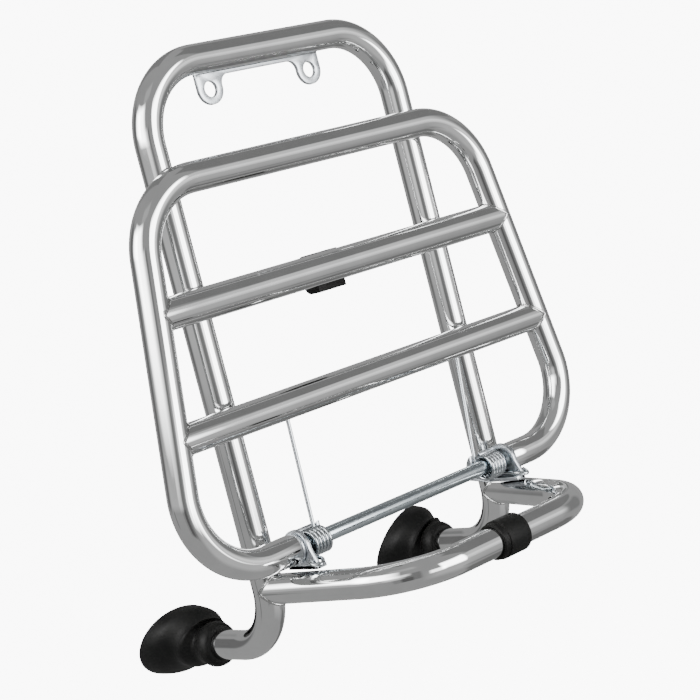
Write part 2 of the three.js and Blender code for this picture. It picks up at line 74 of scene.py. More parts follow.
# %% [markdown]
# ## The sizes the tubes are bent to
# The rack is drawn from its hinge line and from the plane of its legs, in millimetres, and then moved so
# that the origin lies on the back of the top bracket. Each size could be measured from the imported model
# instead, but a bend's radius or a tube's lean can't be read from a box. So the design's own sizes are
# written out here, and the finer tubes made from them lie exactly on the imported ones.

# %% Driving sizes
MM = 0.001
GAP = 0.3  # the room left between pieces that turn or sit against each other
SNUG = 0.05  # the room left round a piece that grips another
TUBE_R = 8.0
TUBE_WALL = 1.5
LEG_X = 89.0
FRAME_HEIGHT = 255.0
FRAME_CORNER_R = 40.0
FOOT_BEND_R = 32.0
FOOT_BEND_TOP = -18.0
STUB_END = 59.0
STUB_Z = FOOT_BEND_TOP - FOOT_BEND_R
HOOP_REACH = 89.7
HOOP_TAPER = 20.0
HOOP_CORNER_R = 42.0
HOOP_DROP = 2.5
ROD_R = 4.0
LEAN = math.radians(1.37)
TRAY_FOOT_OVERHANG = 58.5
TRAY_TOP_OVERHANG = 28.7
TRAY_HEIGHT = 195.7
TRAY_TOP_CORNER_R = 41.0
TRAY_FOOT_CORNER_R = 39.5
LOWER_BAR_HEIGHT = 71.2
UPPER_BAR_HEIGHT = 132.9
UPPER_BAR_R = 8.4
SETBACK = 2 * TUBE_R + 0.7 + TRAY_HEIGHT * math.sin(LEAN)
BRACKET_BACK = TUBE_R + 0.5
BRACKET_STRIP_BOTTOM = FRAME_HEIGHT - 9.8
BRACKET_STRIP_TOP = FRAME_HEIGHT - 4.0
ORIGIN = Vector((0.0, BRACKET_BACK, (BRACKET_STRIP_BOTTOM + BRACKET_STRIP_TOP) / 2))
SHEET = 2.2
WIRE_R = 1.1
SPRING_SLACK = 1.2
SPRING_R = ROD_R + SPRING_SLACK + WIRE_R
SPRING_DROP = SPRING_SLACK - 0.4
SPRING_TURNS = 5.25
SPRING_PITCH = 2.35
COIL_R = SPRING_R + WIRE_R
SHROUD_BORE = COIL_R + GAP
SHROUD_R = SHROUD_BORE + SHEET
COIL_BOTTOM = -SPRING_DROP - COIL_R
BASE_TOP = COIL_BOTTOM - 1.3
BASE_BOTTOM = BASE_TOP - SHEET
BASE_REACH = 13.0
BASE_WIDTH = 6.5
SHROUD_WRAP = 62
TAB_DEPTH = 5.0
WEB_TIP = 4.5
HOOP_AT_HINGE = BASE_BOTTOM - GAP - TUBE_R
HOOP_LEG_Z = HOOP_AT_HINGE + HOOP_DROP * SETBACK / HOOP_REACH
HOOP_FRONT_Z = HOOP_LEG_Z - HOOP_DROP
HOOP_FRONT_X = LEG_X - HOOP_TAPER
EAR_OUTER = LEG_X - HOOP_TAPER * SETBACK / HOOP_REACH - 3.2
EAR_INNER = EAR_OUTER - SHEET
TRAY_END = EAR_OUTER + GAP + 1.5 + GAP
BUSH_END = TRAY_END + 9.0
ROD_END = BUSH_END + 4.0
SIDES = {-1: "left", 1: "right"}
LEG_LEAN = {-1: -5.0, 1: 11.6}
COIL_OUTER = {-1: EAR_INNER - 4.0 - WIRE_R, 1: EAR_INNER - 1.8 - WIRE_R}
COIL_INNER = {side: COIL_OUTER[side] - SPRING_PITCH * SPRING_TURNS for side in SIDES}


def at(x, y, z):
    """A place given in the design's millimetres, in the row's metres."""
    return (Vector((x, y, z)) - ORIGIN) * MM


def in_tray(x, up, back=0.0):
    """A place in the leaning plane of the tray: across, up from the hinge, back from the plane."""
    y = -SETBACK + up * math.sin(LEAN) + back * math.cos(LEAN)
    z = up * math.cos(LEAN) - back * math.sin(LEAN)
    return at(x, y, z)


hinge_y = at(0, -SETBACK, 0).y
print("hinge line at y, z =", round(hinge_y, 5), round(at(0, 0, 0).z, 5))
rod_low, rod_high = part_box("hinge_rod")
print("packed rod centre:", [round((a + b) / 2, 5) for a, b in zip(rod_low, rod_high)])

# %% [markdown]
# ## Shader helpers
# A finish is the last thing done to the real object, and a painted image of each surface could be wrapped
# round the mesh to show it. Here it is worked out in nodes from the piece's own coordinates instead, so it
# needs no unwrapping and stays put when the piece moves. One small class lets the maths read as plain
# expressions.

# %% Shader helpers


class Value:
    """A shader socket that takes part in arithmetic."""

    def __init__(self, graph, socket):
        self.graph = graph
        self.socket = socket

    def maths(self, operation, *others):
        return self.graph.node("ShaderNodeMath", {"operation": operation}, [self, *others])

    def __add__(self, other):
        return self.maths("ADD", other)

    def __sub__(self, other):
        return self.maths("SUBTRACT", other)

    def __mul__(self, other):
        return self.maths("MULTIPLY", other)

    __rmul__ = __mul__


class Graph:
    """One material and the nodes added to it."""

    def __init__(self, name):
        self.material = bpy.data.materials.new(name)
        self.material.use_nodes = True
        self.tree = self.material.node_tree
        self.shader = self.tree.nodes["Principled BSDF"]

    def node(self, kind, settings=None, inputs=(), output=0):
        """Adds a node, sets it up, and feeds its sockets with values or links."""
        made = self.tree.nodes.new(kind)
        for key, value in (settings or {}).items():
            setattr(made, key, value)
        pairs = inputs.items() if isinstance(inputs, dict) else enumerate(inputs)
        for key, value in pairs:
            self.feed(made.inputs[key], value)
        return Value(self, made.outputs[output])

    def feed(self, socket, value):
        if isinstance(value, Value):
            self.tree.links.new(value.socket, socket)
        else:
            socket.default_value = value

    def noise(self, scale, detail=3.0, roughness=0.5, stretch=(1.0, 1.0, 1.0)):
        """Noise over the piece's own coordinates, in features of one over scale metres."""
        place = self.node("ShaderNodeTexCoord", output=3)
        spread = self.node("ShaderNodeVectorMath", {"operation": "MULTIPLY"}, [place, stretch])
        settings = {"Vector": spread, "Scale": scale, "Detail": detail, "Roughness": roughness}
        return self.node("ShaderNodeTexNoise", inputs=settings)

    def span(self, value, low, high):
        """Noise from its usual range to low..high, held between them."""
        inputs = {"Value": value, "From Min": 0.3, "From Max": 0.7, "To Min": low, "To Max": high}
        return self.node("ShaderNodeMapRange", inputs=inputs)

    def tint(self, value, low, high):
        """A colour that wanders between two as the noise does."""
        inputs = {0: self.span(value, 0.0, 1.0), 6: (*low, 1.0), 7: (*high, 1.0)}
        return self.node("ShaderNodeMix", {"data_type": "RGBA"}, inputs, output=2)

    def surface(self, **sockets):
        for name, value in sockets.items():
            self.feed(self.shader.inputs[name.replace("_", " ")], value)

    def bump(self, height, strength, distance):
        inputs = {"Strength": strength, "Distance": distance, "Height": height}
        self.surface(Normal=self.node("ShaderNodeBump", inputs=inputs))


print("shader helpers ready")

# %% [markdown]
# ## Finishes
# Chrome plate is a mirror with a few faint flaws: slow ripples left by bending and polishing, and a light
# haze. Zinc plate is duller, bluish and finely mottled. Drawn spring wire has a darker, grainy skin.
# Moulded rubber is near black, with a soft sheen and a fine grain. One flat colour and one roughness would
# do for each, but then every piece looks like plastic, so noise moves both a little.

# %% Finishes
ALONG_X = (0.08, 1.0, 1.0)


def chrome_finish():
    graph = Graph("chrome_plate")
    haze = graph.noise(60.0, 2.0)
    marks = graph.noise(900.0, 3.0, 0.6, (0.25, 1.0, 1.0))
    tint = graph.tint(haze, (0.73, 0.735, 0.735), (0.79, 0.795, 0.795))
    roughness = graph.span(haze, 0.02, 0.05) + graph.span(marks, 0.0, 0.015)
    graph.surface(Metallic=1.0, Base_Color=tint, Roughness=roughness)
    ripple = graph.noise(34.0, 1.0, 0.4) + 0.01 * marks
    graph.bump(ripple, 0.1, 0.0006)
    return graph.material


def grained(name, metallic, noise, low, high, sheen, relief):
    """A finish whose colour, roughness and relief all follow one fine grain."""
    graph = Graph(name)
    grain = graph.noise(*noise)
    tint = graph.tint(grain, low, high)
    graph.surface(Metallic=metallic, Base_Color=tint, Roughness=graph.span(grain, *sheen))
    graph.bump(grain, *relief)
    return graph.material


# The weld beads' colour is darker than the chrome's: painted shade, standing for the shade in the crease
# where one tube runs into another.
def bead_painted_shade():
    pale = (0.52, 0.52, 0.515)
    return grained("plated_weld_painted_shade", 1.0, (1400.0, 3.0), (0.4, 0.4, 0.4), pale, (0.14, 0.24), (0.3, 0.0003))


def zinc_finish():
    graph = Graph("zinc_plate")
    mottle = graph.noise(240.0, 4.0, 0.6)
    fine = graph.noise(2600.0, 2.0)
    tint = graph.tint(mottle, (0.5, 0.53, 0.56), (0.64, 0.67, 0.7))
    roughness = graph.span(mottle, 0.24, 0.34) + graph.span(fine, 0.0, 0.05)
    graph.surface(Metallic=1.0, Base_Color=tint, Roughness=roughness)
    graph.bump(fine + mottle, 0.2, 0.0001)
    return graph.material


def rod_finish():
    graph = Graph("zinc_rod")
    drawn = graph.noise(1500.0, 3.0, 0.6, ALONG_X)
    mottle = graph.noise(120.0, 3.0)
    tint = graph.tint(mottle, (0.5, 0.56, 0.6), (0.6, 0.66, 0.69))
    graph.surface(Metallic=1.0, Base_Color=tint, Roughness=graph.span(drawn, 0.13, 0.22))
    graph.bump(drawn, 0.2, 0.0001)
    return graph.material


def spring_finish():
    grain = (2200.0, 3.0, 0.6)
    dark = (0.4, 0.43, 0.45)
    return grained("spring_wire", 1.0, grain, dark, (0.56, 0.59, 0.61), (0.1, 0.2), (0.2, 0.0001))


def rubber_finish():
    graph = Graph("black_rubber")
    bloom = graph.noise(90.0, 4.0, 0.6)
    grain = graph.noise(3200.0, 2.0)
    tint = graph.tint(bloom, (0.003, 0.003, 0.003), (0.008, 0.008, 0.0075))
    roughness = graph.span(bloom, 0.42, 0.58) + graph.span(grain, 0.0, 0.08)
    graph.surface(Base_Color=tint, Roughness=roughness, Specular_IOR_Level=0.18)
    graph.bump(grain + 0.6 * bloom, 0.25, 0.0002)
    return graph.material


def nylon_finish():
    dark = (0.012, 0.012, 0.013)
    pale = (0.024, 0.024, 0.025)
    return grained("black_nylon", 0.0, (1800.0, 3.0), dark, pale, (0.38, 0.52), (0.3, 0.0002))


chrome = chrome_finish()
bead = bead_painted_shade()
zinc = zinc_finish()
rod_zinc = rod_finish()
spring_steel = spring_finish()
rubber = rubber_finish()
nylon = nylon_finish()
print("finishes:", [m.name for m in (chrome, bead, zinc, rod_zinc, spring_steel, rubber, nylon)])

# %% [markdown]
# ## Making and placing a piece
# Every piece is finished in the row's frame, with its object at the origin, then handed to the body it
# moves with, if it has one, and the imported nodes that it stands for are hidden. An object could be moved
# into place instead, but a mesh that already lies in the row's frame can be laid straight against the
# imported box, which the compare helper does.

# %% Placing helper
SHARP = math.radians(35)  # edges that fold more than this stay crisp


def link_mesh(name, bm, material):
    mesh = bpy.data.meshes.new(name)
    bm.to_mesh(mesh)
    bm.free()
    piece = bpy.data.objects.new(name, mesh)
    piece.data.materials.append(material)
    bpy.context.scene.collection.objects.link(piece)
    return piece


def finish_mesh(name, bm, material):
    """Closes off a mesh, smooths it between its edges and puts it in the scene."""
    bmesh.ops.recalc_face_normals(bm, faces=bm.faces)
    for face in bm.faces:
        face.smooth = True
    piece = link_mesh(name, bm, material)
    piece.data.set_sharp_from_angle(angle=SHARP)
    return piece


def place(piece, body, slot, *nodes):
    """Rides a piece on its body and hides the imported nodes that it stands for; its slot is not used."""
    if body:
        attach(piece, body)
    if nodes:
        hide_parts(*nodes)
    return piece


def compare(piece, node):
    """Says how far a piece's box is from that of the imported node, at the worst corner."""
    low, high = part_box(node)
    spots = [v.co for v in piece.data.vertices]
    worst = max(
        max(abs(min(s[i] for s in spots) - low[i]), abs(max(s[i] for s in spots) - high[i]))
        for i in range(3)
    )
    print(f"{piece.name}: {len(piece.data.polygons)} faces, box within {worst / MM:.2f} mm of {node}")


print("placing helpers ready")


# %% [markdown]
# ## Bent tubes
# The rack's frame, hoop and tray are lengths of steel tube, and a tube bender leaves straight runs joined by
# round bends. A curve object with a round bevel would draw them too, but its rings bunch up in the bends.
# Here the route is a row of stations, and one circle is carried along them and extruded. That keeps the
# rings even, so the chrome's reflections run smoothly.

# %% Tubes


def bent_route(corners, degrees=3.0):
    """Stations (place, heading) of a route that runs straight and turns its corners on round bends."""
    places = [Vector(c[0]) for c in corners]
    stations = [(places[0], (places[1] - places[0]).normalized())]
    for before, corner, after, radius in zip(places, places[1:], places[2:], [c[1] for c in corners[1:]]):
        way_in = (corner - before).normalized()
        way_out = (after - corner).normalized()
        turn = way_in.angle(way_out)
        start = corner - way_in * radius * math.tan(turn / 2)
        axis = way_in.cross(way_out).normalized()
        centre = start + axis.cross(way_in) * radius
        steps = max(2, round(math.degrees(turn) / degrees))
        for k in range(steps + 1):
            spin = Matrix.Rotation(turn * k / steps, 3, axis)
            stations.append((centre + spin @ (start - centre), spin @ way_in))
    stations.append((places[-1], (places[-1] - places[-2]).normalized()))
    return stations


def carried_frames(stations):
    """A matrix at each station whose Z runs along the route and whose X twists as little as it can."""
    side = stations[0][1].orthogonal().normalized()
    frames = []
    last = stations[0][1]
    for spot, heading in stations:
        side = last.rotation_difference(heading) @ side
        side = (side - heading * side.dot(heading)).normalized()
        basis = Matrix((side, heading.cross(side), heading)).transposed().to_4x4()
        frames.append(Matrix.Translation(spot) @ basis)
        last = heading
    return frames


def carry(bm, edges, frames):
    """Extrudes a ring of edges from frame to frame, and returns the last ring."""
    for before, after in zip(frames, frames[1:]):
        grown = bmesh.ops.extrude_edge_only(bm, edges=edges)["geom"]
        verts = [g for g in grown if isinstance(g, bmesh.types.BMVert)]
        fresh = set(verts)
        edges = [g for g in grown if isinstance(g, bmesh.types.BMEdge) and set(g.verts) <= fresh]
        bmesh.ops.transform(bm, matrix=after @ before.inverted(), verts=verts)
    return edges


def sweep(name, stations, radius, material, sides=40):
    """A closed round bar along a route, made by extruding one circle from station to station."""
    frames = carried_frames(stations)
    bm = bmesh.new()
    bmesh.ops.create_circle(bm, cap_ends=True, radius=radius, segments=sides, matrix=frames[0])
    edges = carry(bm, list(bm.edges), frames)
    bmesh.ops.edgeloop_fill(bm, edges=edges)
    return finish_mesh(name, bm, material)


print("tube helpers ready")

# %% [markdown]
# ## The main frame and the hoop
# The main frame is one tube: two long legs, a top rail, and two short stubs at the bottom that turn back
# towards the panel. The hoop is a second tube that reaches forward from the legs and carries the hinge.
# Straight cylinders with balls at the corners would be quick, but a real bend has one even radius, so each
# tube is swept along its own list of corners.

# %% Main frame and hoop
frame_corners = [
    (at(-LEG_X, STUB_END, STUB_Z), 0),
    (at(-LEG_X, 0, STUB_Z), FOOT_BEND_R * MM),
    (at(-LEG_X, 0, FRAME_HEIGHT), FRAME_CORNER_R * MM),
    (at(LEG_X, 0, FRAME_HEIGHT), FRAME_CORNER_R * MM),
    (at(LEG_X, 0, STUB_Z), FOOT_BEND_R * MM),
    (at(LEG_X, STUB_END, STUB_Z), 0),
]
main_tube = sweep("main_frame", bent_route(frame_corners), TUBE_R * MM, chrome)
compare(main_tube, "main_frame_tube")
place(main_tube, "frame", "chrome", "main_frame_tube")

hoop_corners = [
    (at(-LEG_X, 0, HOOP_LEG_Z), 0),
    (at(-HOOP_FRONT_X, -HOOP_REACH, HOOP_FRONT_Z), HOOP_CORNER_R * MM),
    (at(HOOP_FRONT_X, -HOOP_REACH, HOOP_FRONT_Z), HOOP_CORNER_R * MM),
    (at(LEG_X, 0, HOOP_LEG_Z), 0),
]
hoop = sweep("hoop", bent_route(hoop_corners), TUBE_R * MM, chrome)
compare(hoop, "support_hoop")
place(hoop, "frame", "chrome", "support_hoop")

# %% [markdown]
# ## The tray
# The tray's tube is open at its two lower ends, where the bushes sit, so the wall shows there. A solid bar
# with a dark disc on its end would pass from afar, but the rim catches the light close by. So it is made as
# a real tube: the outer skin, the bore, and a flat rim with slightly rounded edges between them. The two
# crossbars are plain bars whose ends run into the tray's sides.

# %% Tray
RIM_EASE = 0.3
BOTTOM_X = LEG_X + TRAY_FOOT_OVERHANG
TOP_X = LEG_X + TRAY_TOP_OVERHANG
tray_corners = [
    (in_tray(-TRAY_END, 0), 0),
    (in_tray(-BOTTOM_X, 0), TRAY_FOOT_CORNER_R * MM),
    (in_tray(-TOP_X, TRAY_HEIGHT), TRAY_TOP_CORNER_R * MM),
    (in_tray(TOP_X, TRAY_HEIGHT), TRAY_TOP_CORNER_R * MM),
    (in_tray(BOTTOM_X, 0), TRAY_FOOT_CORNER_R * MM),
    (in_tray(TRAY_END, 0), 0),
]


def open_tube(name, stations, radius, bore, material, sides=40):
    """A tube with a bore right through, its rims slightly rounded."""
    frames = carried_frames(stations)
    bm = bmesh.new()
    rims = []
    for r in (radius, bore):
        ring = bmesh.ops.create_circle(bm, radius=r, segments=sides, matrix=frames[0])
        edges = list({e for v in ring["verts"] for e in v.link_edges})
        rims.append((edges, carry(bm, edges, frames)))
    for end in (0, 1):
        bmesh.ops.bridge_loops(bm, edges=rims[0][end] + rims[1][end])
    corners = [e for pair in rims for loop in pair for e in loop]
    bmesh.ops.bevel(bm, geom=corners, offset=RIM_EASE * MM, segments=2, profile=0.5, affect="EDGES")
    return finish_mesh(name, bm, material)


tray_tube = open_tube("tray_bow", bent_route(tray_corners), TUBE_R * MM, (TUBE_R - TUBE_WALL) * MM, chrome)
compare(tray_tube, "tray_tube")
place(tray_tube, "tray", "chrome", "tray_tube")


def side_x(up):
    """How far out the tray's side runs at a height."""
    return BOTTOM_X + (TOP_X - BOTTOM_X) * up / TRAY_HEIGHT


def crossbar(name, up, radius):
    reach = side_x(up)
    ends = [(in_tray(-reach, up), 0), (in_tray(reach, up), 0)]
    return sweep(name, bent_route(ends), radius * MM, chrome)


lower_bar = crossbar("lower_bar", LOWER_BAR_HEIGHT, TUBE_R)
upper_bar = crossbar("upper_bar", UPPER_BAR_HEIGHT, UPPER_BAR_R)
place(lower_bar, "tray", "chrome", "lower_crossbar")
place(upper_bar, "tray", "chrome", "upper_crossbar")
print("tray tube and crossbars placed")

# %% [markdown]
# ## Weld beads
# Where one tube runs into another, a welder lays a small rippled bead round the joint, and the plating
# then covers it. The crease could be left bare, or rounded by a bevel after a boolean. Here the true curve
# in which the two round tubes meet is worked out, and a small ring is carried along it, because that
# leaves the tubes' own faces long and even, and the bead can ripple.
# The bead's colour is set darker than the chrome's, as painted shade of the crease at the joint.

# %% Weld beads


def meeting_curve(spot, heading, radius, other_spot, other_way, other_radius, steps=96):
    """Points where a tube that comes from one side meets the skin of another."""
    side = heading.orthogonal().normalized()
    third = heading.cross(side)
    points = []
    for k in range(steps):
        turn = 2 * math.pi * k / steps
        start = spot + (side * math.cos(turn) + third * math.sin(turn)) * radius
        gap = start - other_spot
        gap = gap - other_way * gap.dot(other_way)
        way = heading - other_way * heading.dot(other_way)
        a = way.dot(way)
        b = 2 * gap.dot(way)
        c = gap.dot(gap) - other_radius**2
        root = max(0.0, b * b - 4 * a * c)
        points.append(start + heading * (-b - math.sqrt(root)) / (2 * a))
    return points


RIPPLES = 24
RIPPLE_DEPTH = 0.04


def weld_bead(name, body, points, thick):
    """A rippled bead: one small ring carried round a closed curve and joined to itself."""
    count = len(points)
    middle = sum(points, Vector()) / count
    frames = []
    for k, spot in enumerate(points):
        heading = (points[(k + 1) % count] - points[k - 1]).normalized()
        out = (spot - middle - heading * (spot - middle).dot(heading)).normalized()
        basis = Matrix((out, heading.cross(out), heading)).transposed().to_4x4()
        swell = 1 + RIPPLE_DEPTH * math.sin(2 * math.pi * RIPPLES * k / count)
        frames.append(Matrix.Translation(spot) @ basis @ Matrix.Scale(thick * swell * MM, 4))
    bm = bmesh.new()
    bmesh.ops.create_circle(bm, radius=1, segments=10, matrix=frames[0])
    first = list(bm.edges)
    last = carry(bm, first, frames)
    bmesh.ops.bridge_loops(bm, edges=first + last)
    piece = finish_mesh(name, bm, bead)
    return place(piece, body, "chrome")


UP = Vector((0, 0, 1))
HOOP_BEAD = 0.8
BAR_BEAD = 0.9
tray_up = (in_tray(0, 1) - in_tray(0, 0)).normalized()
for side, side_name in SIDES.items():
    leg = at(side * LEG_X, 0, 0)
    front = at(side * HOOP_FRONT_X, -HOOP_REACH, HOOP_FRONT_Z)
    joint = at(side * LEG_X, 0, HOOP_LEG_Z)
    curve = meeting_curve(front, (joint - front).normalized(), TUBE_R * MM, leg, UP, TUBE_R * MM)
    weld_bead(f"hoop_weld_{side_name}", "frame", curve, HOOP_BEAD)
    side_way = (in_tray(side * TOP_X, TRAY_HEIGHT) - in_tray(side * BOTTOM_X, 0)).normalized()
    for bar_name, up, radius in (
        ("lower", LOWER_BAR_HEIGHT, TUBE_R),
        ("upper", UPPER_BAR_HEIGHT, UPPER_BAR_R),
    ):
        inner = in_tray(0, up)
        outer = in_tray(side * side_x(up), up)
        way = (outer - inner).normalized()
        skin = TUBE_R * MM
        curve = meeting_curve(inner, way, min(radius * MM, skin) * 0.999, outer, side_way, skin)
        weld_bead(f"{bar_name}_bar_weld_{side_name}", "tray", curve, BAR_BEAD)

# %% [markdown]
# ## Turned pieces
# The sleeve, rod, bushes, clips and screw are round about one axis. A cylinder with a bevel would do for
# some of them, but each has steps of its own, so each is a closed outline spun once round, with small
# radii where a moulder or a lathe would leave them.

# %% Turned pieces


def spun(profile, sides=48):
    """A closed solid spun about Y from (along, radius) corners in millimetres."""
    bm = bmesh.new()
    verts = [bm.verts.new((r * MM, along * MM, 0)) for along, r in profile]
    closed = profile[0][1] > 0 and profile[-1][1] > 0
    pairs = list(zip(verts, verts[1:])) + ([(verts[-1], verts[0])] if closed else [])
    edges = [bm.edges.new(pair) for pair in pairs]
    bmesh.ops.spin(
        bm,
        geom=verts + edges,
        cent=(0, 0, 0),
        axis=(0, 1, 0),
        angle=2 * math.pi,
        steps=sides,
        use_merge=True,
        use_duplicate=False,
    )
    bmesh.ops.remove_doubles(bm, verts=bm.verts, dist=1e-7)
    return bm


def eased(profile, radius, sharp=(), segments=3):
    """The same closed outline with its corners rounded, apart from those whose numbers are in sharp."""
    out = []
    count = len(profile)
    for i, (a, r) in enumerate(profile):
        here = Vector((a, r))
        before = Vector(profile[i - 1])
        after = Vector(profile[(i + 1) % count])
        ease = min(radius, (here - before).length * 0.45, (after - here).length * 0.45)
        if i in sharp or r <= 0:
            out.append((a, r))
            continue
        start = here + (before - here).normalized() * ease
        end = here + (after - here).normalized() * ease
        for k in range(segments + 1):
            t = k / segments
            spot = start * (1 - t) ** 2 + here * 2 * t * (1 - t) + end * t**2
            out.append((spot.x, spot.y))
    return out


ALONG = Matrix.Rotation(-math.pi / 2, 4, "Z")  # turns a piece's own Y to +X


def turned(name, profile, material, matrix, sides=48):
    bm = spun(profile, sides)
    bmesh.ops.transform(bm, matrix=matrix, verts=bm.verts)
    return finish_mesh(name, bm, material)


print("turning helpers ready")

# %% [markdown]
# ## Sleeve and rod
# A rubber sleeve on the hoop's front run cushions the tray when it is folded down, and a plain zinc rod
# runs through the whole hinge. A cylinder primitive would give the rod sharp ends and the sleeve no lip,
# so both are spun from outlines whose corners have been eased.

# %% Sleeve and rod
SLEEVE_END = 9.5
SLEEVE_R = TUBE_R + 2.3
LIP_R = TUBE_R + 1.6
LIP_LENGTH = 3.5
SLEEVE_OFFSET = -1.5
sleeve_profile = [
    (-SLEEVE_END, TUBE_R + SNUG),
    (-SLEEVE_END, LIP_R),
    (LIP_LENGTH - SLEEVE_END, LIP_R),
    (LIP_LENGTH - SLEEVE_END, SLEEVE_R),
    (SLEEVE_END, SLEEVE_R),
    (SLEEVE_END, TUBE_R + SNUG),
]
sleeve_spot = Matrix.Translation(at(SLEEVE_OFFSET, -HOOP_REACH, HOOP_FRONT_Z))
sleeve = turned("sleeve", eased(sleeve_profile, 0.5), rubber, sleeve_spot @ ALONG, 64)
compare(sleeve, "hoop_sleeve")
place(sleeve, "frame", "rubber", "hoop_sleeve")

on_hinge = Matrix.Translation(at(0, -SETBACK, 0))
rod_profile = eased([(-ROD_END, 0), (-ROD_END, ROD_R), (ROD_END, ROD_R), (ROD_END, 0)], 0.6, (0, 3))
rod = turned("rod", rod_profile, rod_zinc, on_hinge @ ALONG)
compare(rod, "hinge_rod")
place(rod, "frame", "zinc", "hinge_rod")

# %% [markdown]
# ## Clips and bushes
# A push-on clip grips each end of the rod, and a bush in each end of the tray's tube turns on it. Each has
# a bore, so it could be a cylinder with a hole cut by a boolean. Here it is a spun outline that never
# touches the axis, which leaves the bore open by itself and its faces clean.

# %% Clips and bushes
CLIP_R = ROD_R + 1.2
CLIP_START = BUSH_END + GAP
CLIP_END = CLIP_START + 1.2
SPIGOT_R = TUBE_R - 1.7
BUSH_BORE = ROD_R + 0.1
for side, side_name in SIDES.items():
    flip = Matrix.Scale(side, 4, (1, 0, 0))
    grip = ROD_R + SNUG
    clip_profile = [(CLIP_START, grip), (CLIP_START, CLIP_R), (CLIP_END, CLIP_R), (CLIP_END, grip)]
    clip = turned(f"clip_{side_name}", eased(clip_profile, 0.2), zinc, on_hinge @ flip @ ALONG)
    place(clip, "frame", "zinc", f"rod_clip_{side_name}")
    bush_profile = [
        (EAR_OUTER + GAP, BUSH_BORE),
        (EAR_OUTER + GAP, TUBE_R),
        (TRAY_END - GAP, TUBE_R),
        (TRAY_END - GAP, SPIGOT_R),
        (BUSH_END, SPIGOT_R),
        (BUSH_END, BUSH_BORE),
    ]
    bush = turned(f"bush_{side_name}", eased(bush_profile, 0.3), zinc, on_hinge @ flip @ ALONG)
    place(bush, "tray", "zinc", f"pivot_bush_{side_name}")
print("turned pieces placed")

# %% [markdown]
# ## Rubber feet
# Each foot is one moulding: a thick collar that grips the tube's end, a narrow waist, and a wide cup whose
# rim is tipped up to lie flat on the panel. It could be joined from a ring, a cone and a cup, but a moulding
# has no seams. So it is spun straight from one smooth outline, and the rings past the waist are then
# turned, more and more, as far as the cup. The bore stays straight, because the tube in it is straight.

# %% Rubber feet
FOOT_OPENING = 51.1
FOOT_DEPTH = 40.8
RIM_R = 23.8
NECK_R = TUBE_R + 2.8
COLLAR_R = TUBE_R + 4.3
FOOT_RISE = math.radians(3.3)
FOOT_TILT = math.radians(33.2)
FOOT_TOE_IN = math.radians(13)
BORE_DEPTH = 12.5
BEND_START = 8.0
BEND_END = 18.0
foot_outline = [
    (0, COLLAR_R - 2.6),
    (1.2, COLLAR_R - 1),
    (4.5, COLLAR_R),
    (8, COLLAR_R - 0.6),
    (11.5, NECK_R),
    (13.5, NECK_R + 2.2),
    (16, NECK_R + 4.8),
    (21, RIM_R - 7.4),
    (30, RIM_R - 1.9),
    (FOOT_DEPTH - 1.4, RIM_R - 0.3),
    (FOOT_DEPTH, RIM_R - 0.7),
    (FOOT_DEPTH, RIM_R - 3.2),
    (30, RIM_R - 6),
    (22, RIM_R - 10.6),
    (18.5, NECK_R - 3.4),
    (17.5, 0),
]
foot_bore = [(BORE_DEPTH, 0), (BORE_DEPTH, TUBE_R + SNUG), (0, TUBE_R + SNUG)]
RIM_AT = 11  # where the outline turns from the outer skin to the inside of the cup


def rounded_way(points, steps):
    """A Catmull-Rom curve through the points, as a row of closer points."""
    out = []
    for i in range(len(points) - 1):
        p = [points[min(max(i + k, 0), len(points) - 1)] for k in (-1, 0, 1, 2)]
        for s in range(steps):
            t = s / steps
            line = p[1] * 2 + (p[2] - p[0]) * t
            bend = (p[0] * 2 - p[1] * 5 + p[2] * 4 - p[3]) * t**2
            swing = (p[1] * 3 - p[0] - p[2] * 3 + p[3]) * t**3
            out.append((line + bend + swing) / 2)
    out.append(points[-1])
    return out


def smooth_share(value, low, high):
    """Nothing below low and one above high, eased between them."""
    t = min(1.0, max(0.0, (value - low) / (high - low)))
    return t * t * (3 - 2 * t)


def foot(side):
    profile = list(foot_bore)
    for run in (foot_outline[:RIM_AT], foot_outline[RIM_AT:]):
        smooth = rounded_way([Vector(corner) for corner in run], 4)
        profile += [(spot.x, max(0.0, spot.y)) for spot in smooth]
    bm = spun(profile, 72)
    for vert in bm.verts:
        along = vert.co.y / MM
        out = math.hypot(vert.co.x, vert.co.z) / MM
        in_bore = along < BORE_DEPTH + 0.1 and out < TUBE_R + 2 * SNUG
        share = 0.0 if in_bore else smooth_share(along, BEND_START, BEND_END)
        climb = 0.0 if in_bore else FOOT_RISE
        tilt = Matrix.Rotation(FOOT_TILT * share, 3, "X")
        toe = Matrix.Rotation(FOOT_TOE_IN * share * side, 3, "Z")
        y = FOOT_OPENING + along * math.cos(climb)
        z = STUB_Z + along * math.sin(climb)
        vert.co = at(side * LEG_X, y, z) + toe @ tilt @ Vector((vert.co.x, 0, vert.co.z))
    return finish_mesh(f"foot_{SIDES[side]}", bm, rubber)


for side, side_name in SIDES.items():
    made = foot(side)
    compare(made, f"rubber_foot_{side_name}")
    place(made, "frame", "rubber", f"rubber_foot_{side_name}")
    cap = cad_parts[f"stub_cap_{side_name}"]
    for slot in cap.material_slots:
        slot.material = nylon
print("feet placed, stub caps black")

# %% [markdown]
# ## Sheet metal
# The brackets are blanked from steel sheet. Their holes could be cut by booleans from a solid slab, but that
# leaves ragged faces round them. Here each blank is an outline with its holes, filled and given its
# thickness. The cut edges are then rolled over a little, as tumbling before plating leaves them.

# %% Sheet metal helpers
CUT_EASE = 0.35


def arc(cx, cy, radius, start, end, steps=14):
    """Points on an arc, angles in degrees."""
    out = []
    for k in range(steps + 1):
        turn = math.radians(start + (end - start) * k / steps)
        out.append((cx + radius * math.cos(turn), cy + radius * math.sin(turn)))
    return out


def round_hole(cx, cy, radius, points):
    return arc(cx, cy, radius, 0, 360 - 360 / points, points - 1)


